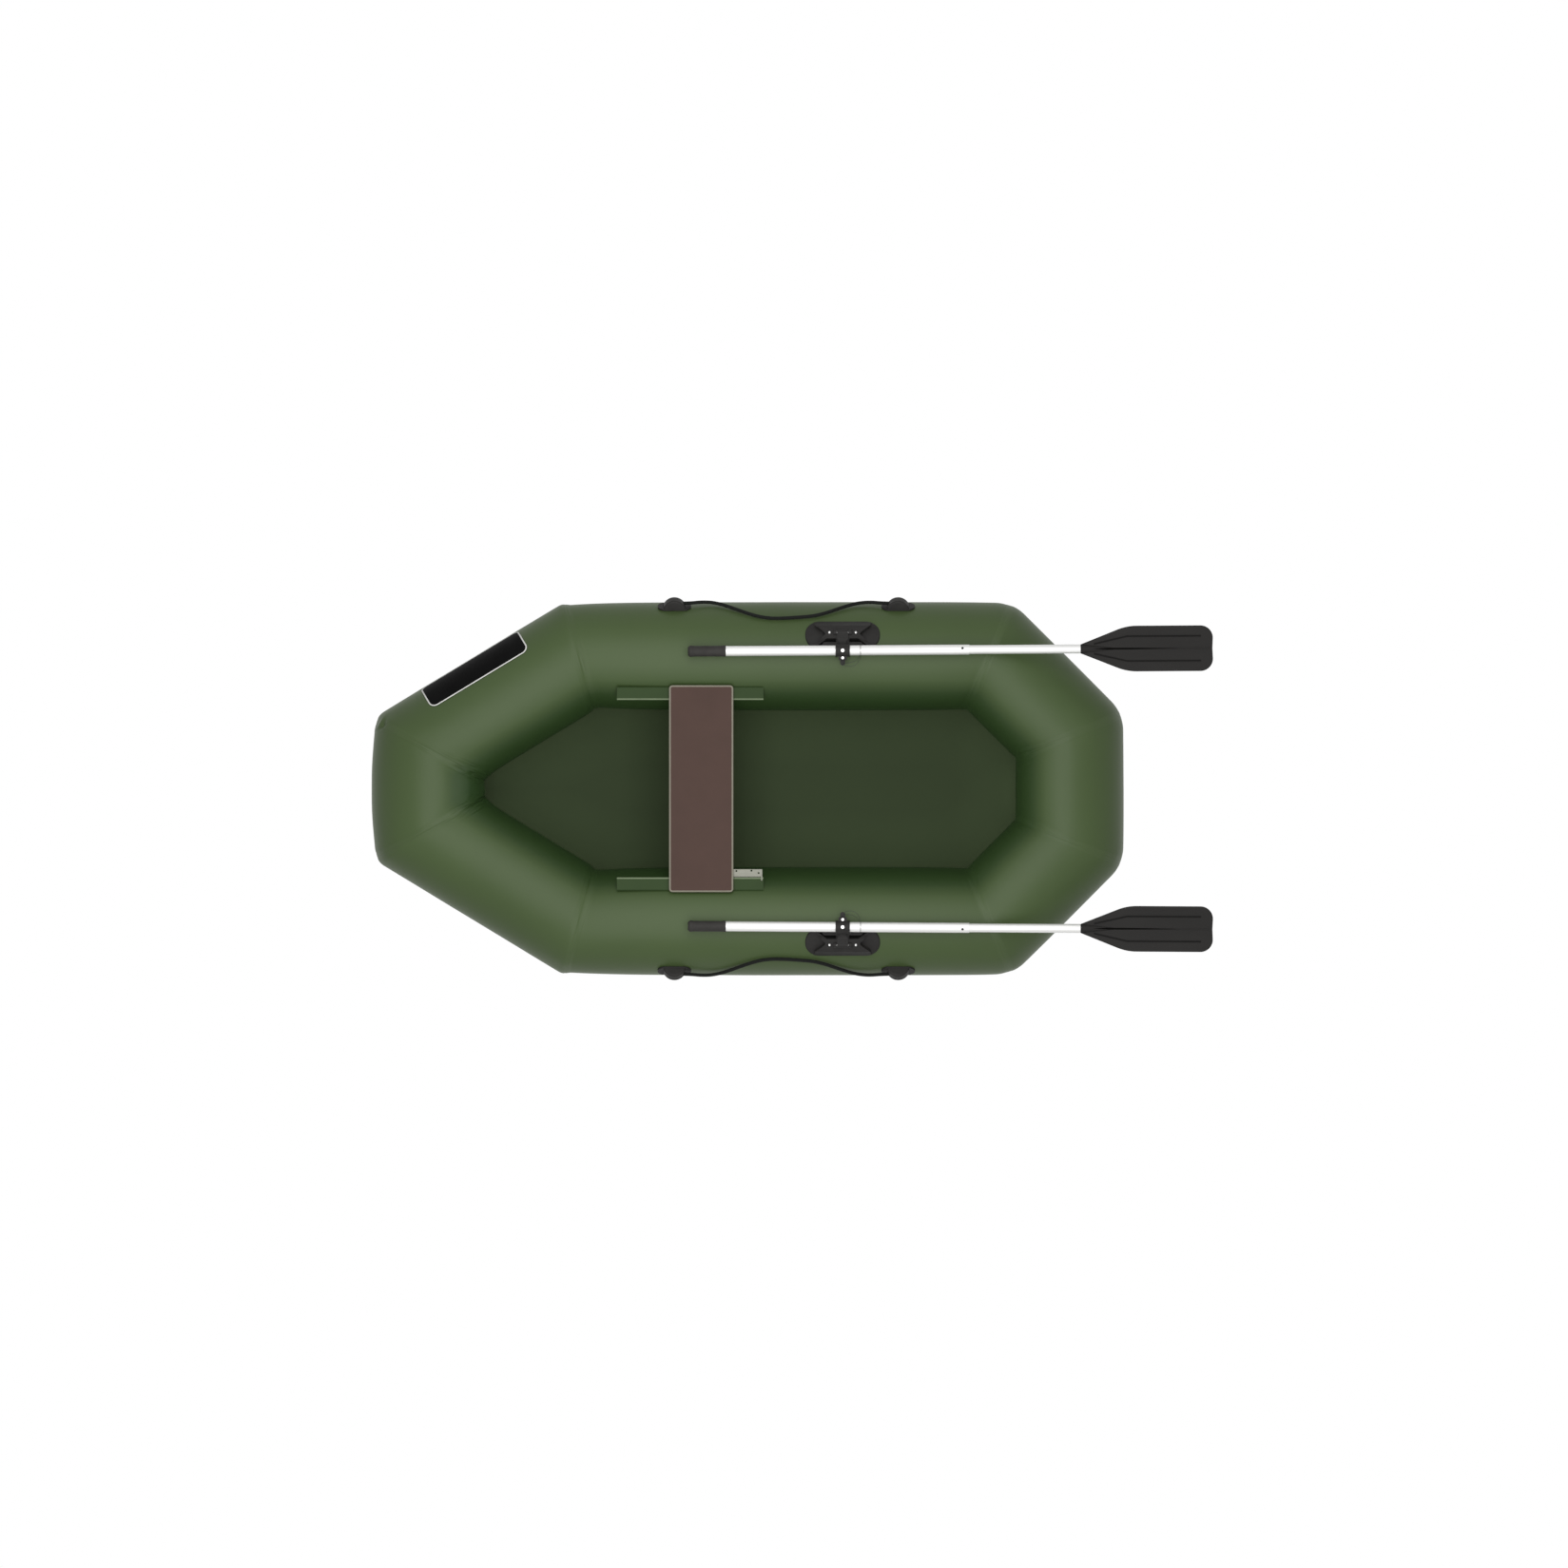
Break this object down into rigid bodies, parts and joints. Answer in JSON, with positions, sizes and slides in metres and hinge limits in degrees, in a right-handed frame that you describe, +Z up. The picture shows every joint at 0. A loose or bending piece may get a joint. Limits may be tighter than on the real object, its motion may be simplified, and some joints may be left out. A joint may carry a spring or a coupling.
{
  "type": "inflatable rowing boat",
  "caption": "Inflatable rowing boat with mitred air tubes, a fabric floor, a sliding plank seat, oars in hinged swivelling oarlocks and grab ropes along its sides.",
  "frame": {"origin": "middle of the hull's length and width, on the underside of the floor", "axes": "+X towards the bow, +Y to port, +Z up"},
  "size_m": [2.2354, 1.0202, 0.3432],
  "materials": {
    "hull_fabric": "satin",
    "floor_fabric": "matte",
    "flap_fabric": "satin",
    "seat_plywood": "satin",
    "bright_aluminium": "satin",
    "shaft_aluminium": "satin",
    "black_moulding": "satin",
    "grip_plastic": "matte",
    "blade_plastic": "satin",
    "valve_plastic": "satin",
    "black_rope": "matte",
    "plate_film": "gloss",
    "steel": "satin"
  },
  "bodies": {
    "hull": {"blank_plate": "plate_film", "flap_port": "flap_fabric", "flap_starboard": "flap_fabric", "floor": "floor_fabric", "lock_housing_port": "black_moulding", "lock_housing_starboard": "black_moulding", "lock_pad_port": "black_moulding", "lock_pad_starboard": "black_moulding", "lock_pin_port": "steel", "lock_pin_starboard": "steel", "rope_eye_port_aft": "black_moulding", "rope_eye_port_fore": "black_moulding", "rope_eye_starboard_aft": "black_moulding", "rope_eye_starboard_fore": "black_moulding", "rope_port": "black_rope", "rope_starboard": "black_rope", "tube_nose": "hull_fabric", "tube_port_bow": "hull_fabric", "tube_port_quarter": "hull_fabric", "tube_port_side": "hull_fabric", "tube_starboard_bow": "hull_fabric", "tube_starboard_quarter": "hull_fabric", "tube_starboard_side": "hull_fabric", "tube_stern": "hull_fabric", "valve_port": "valve_plastic", "valve_starboard": "valve_plastic"},
    "arm_port": {"lock_arm_port": "black_moulding"},
    "oar_port": {"blade_port": "blade_plastic", "clamp_screw_port": "steel", "collar_port": "black_moulding", "grip_port": "grip_plastic", "shaft_aft_port": "shaft_aluminium", "shaft_fore_port": "shaft_aluminium", "swivel_bolt_port": "steel"},
    "arm_starboard": {"lock_arm_starboard": "black_moulding"},
    "oar_starboard": {"blade_starboard": "blade_plastic", "clamp_screw_starboard": "steel", "collar_starboard": "black_moulding", "grip_starboard": "grip_plastic", "shaft_aft_starboard": "shaft_aluminium", "shaft_fore_starboard": "shaft_aluminium", "swivel_bolt_starboard": "steel"},
    "seat": {"runner_port": "bright_aluminium", "runner_starboard": "bright_aluminium", "seat_board": "seat_plywood"}
  },
  "joints": [
    {"name": "oar_tilt_port", "type": "hinge", "parent": "hull", "child": "arm_port", "pos_m": [-0.25, 0.41613, 0.29593], "axis": [-1, 0, 0], "range_deg": [0, 45]},
    {"name": "oar_swing_port", "type": "hinge", "parent": "arm_port", "child": "oar_port", "pos_m": [-0.25, 0.36813, 0.32293], "axis": [0, 0, -1], "range_deg": [0, 130]},
    {"name": "oar_tilt_starboard", "type": "hinge", "parent": "hull", "child": "arm_starboard", "pos_m": [-0.25, -0.41613, 0.29593], "axis": [1, 0, 0], "range_deg": [0, 45]},
    {"name": "oar_swing_starboard", "type": "hinge", "parent": "arm_starboard", "child": "oar_starboard", "pos_m": [-0.25, -0.36813, 0.32293], "axis": [0, 0, 1], "range_deg": [0, 130]},
    {"name": "seat_slide", "type": "slide", "parent": "hull", "child": "seat", "axis": [1, 0, 0], "range_m": [-0.08, 0.139]}
  ]
}
